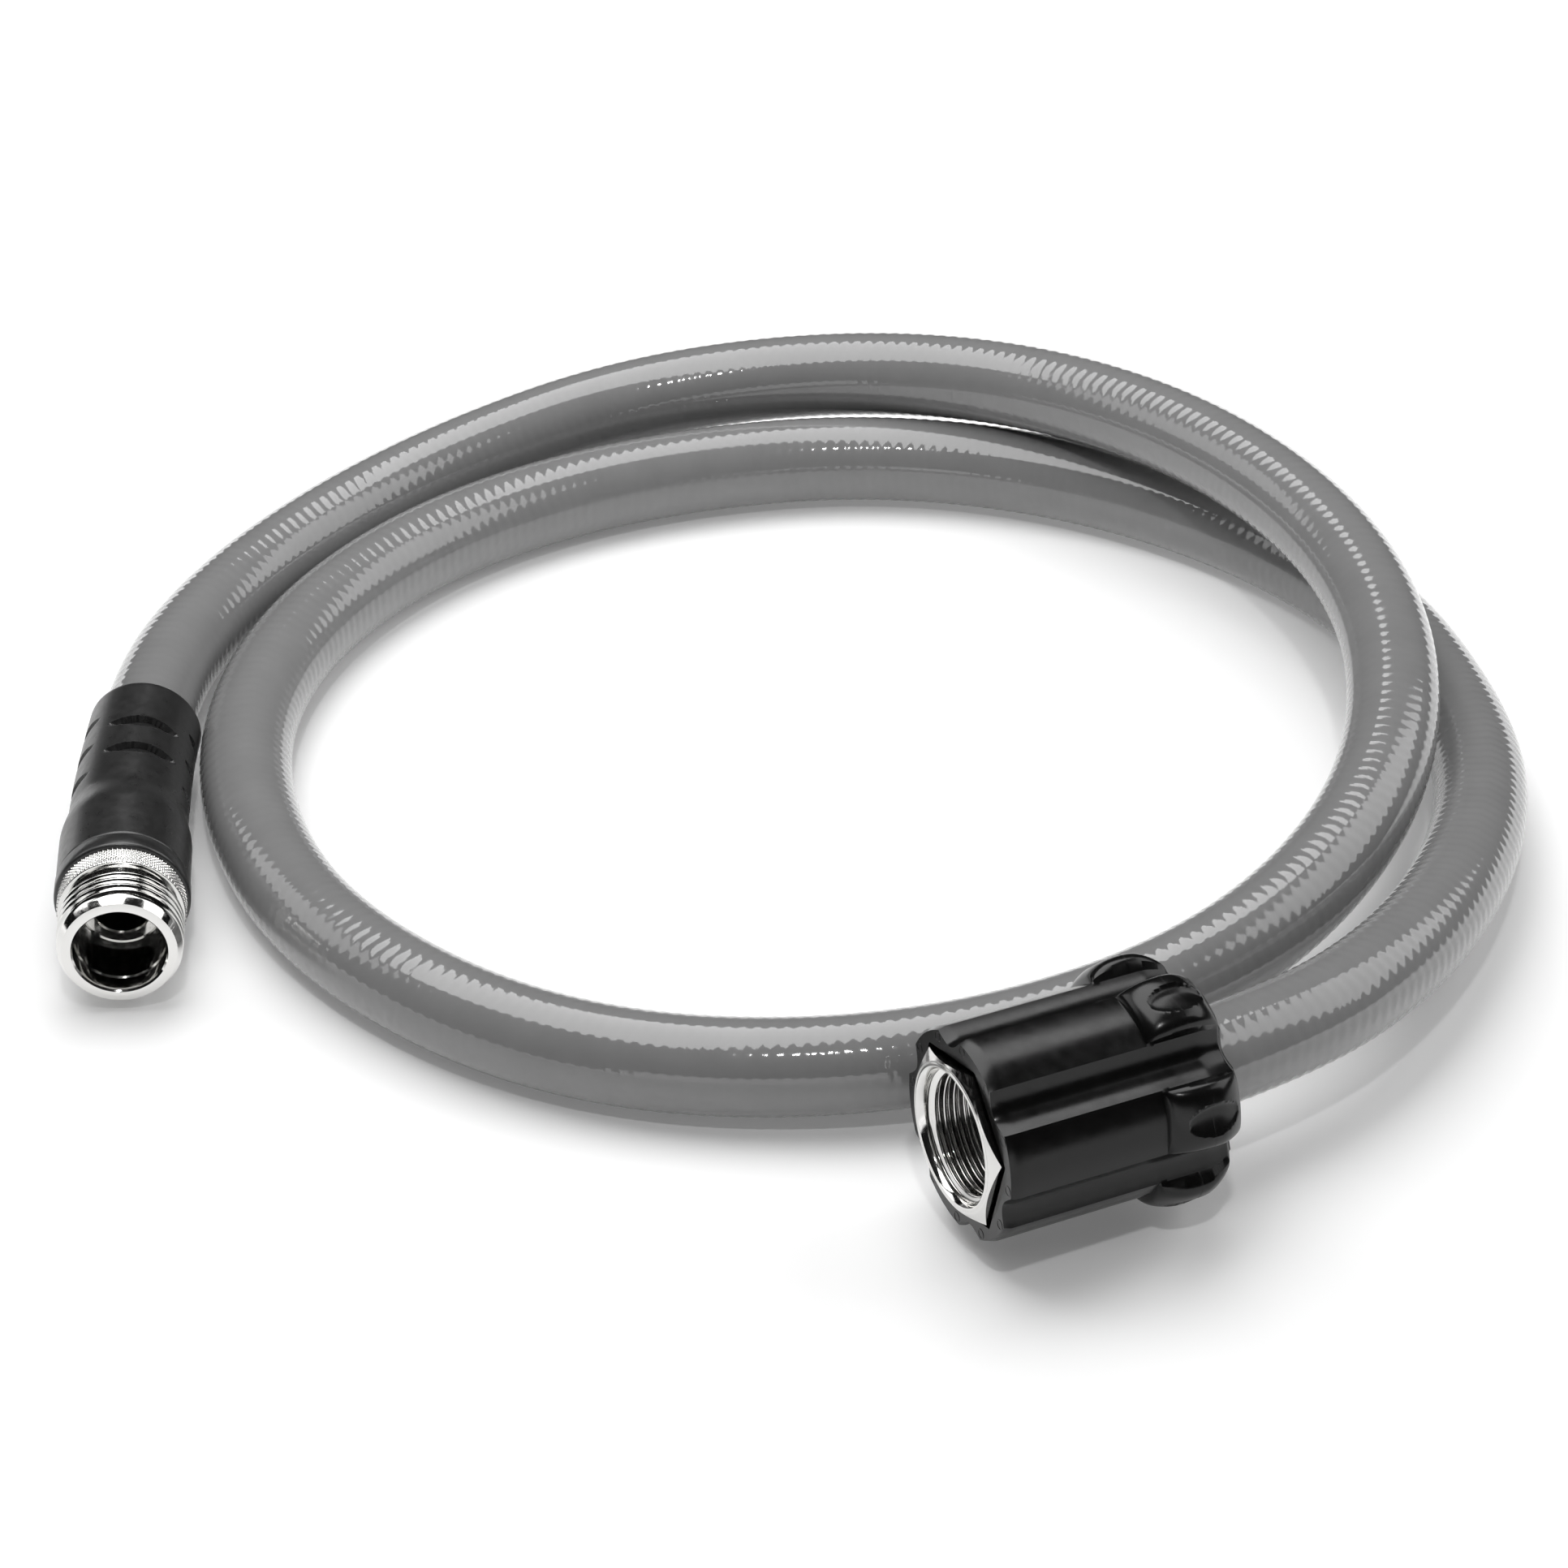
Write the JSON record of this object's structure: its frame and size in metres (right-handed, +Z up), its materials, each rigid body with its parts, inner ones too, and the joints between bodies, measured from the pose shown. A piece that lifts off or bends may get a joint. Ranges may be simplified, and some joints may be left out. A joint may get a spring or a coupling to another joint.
{
  "type": "leader hose",
  "caption": "Short flexible water hose lying in a loose double loop, with a threaded male coupling in a ribbed sleeve at one end and a swivelling female nut in a lobed hand grip at the other.",
  "frame": {"origin": "on the floor, under the middle of the two couplings' common box", "axes": "+Z up; +X from the male coupling's side of the loop to the swivel coupling's side; the couplings' mouths face -Y, towards the front"},
  "size_m": [0.3252, 0.3407, 0.0512],
  "materials": {
    "plated_metal": "bright nickel plate",
    "sleeve_rubber": "satin moulded rubber",
    "grip_plastic": "semi-gloss moulded plastic",
    "cover_vinyl": "glossy vinyl with the braid's pattern showing through",
    "liner_vinyl": "smooth",
    "braid_yarn": "knitted yarn",
    "washer_rubber": "smooth",
    "ferrule_metal": "plain"
  },
  "bodies": {
    "hose": {"male_coupling": "plated_metal", "male_sleeve_ring": "sleeve_rubber", "male_sleeve": "sleeve_rubber", "male_ferrule": "ferrule_metal", "inlet_tailpiece": "plated_metal", "inlet_washer": "washer_rubber", "female_ferrule": "ferrule_metal", "hose_liner": "liner_vinyl", "hose_braid": "braid_yarn", "hose_cover": "cover_vinyl"},
    "swivel": {"swivel_nut": "plated_metal", "swivel_grip": "grip_plastic"}
  },
  "joints": [
    {"name": "swivel_turn", "type": "hinge", "parent": "hose", "child": "swivel", "pos_m": [0.0665, -0.0746, 0.0264], "axis": [-0.8987, -0.4383, 0.0175], "continuous": true}
  ]
}
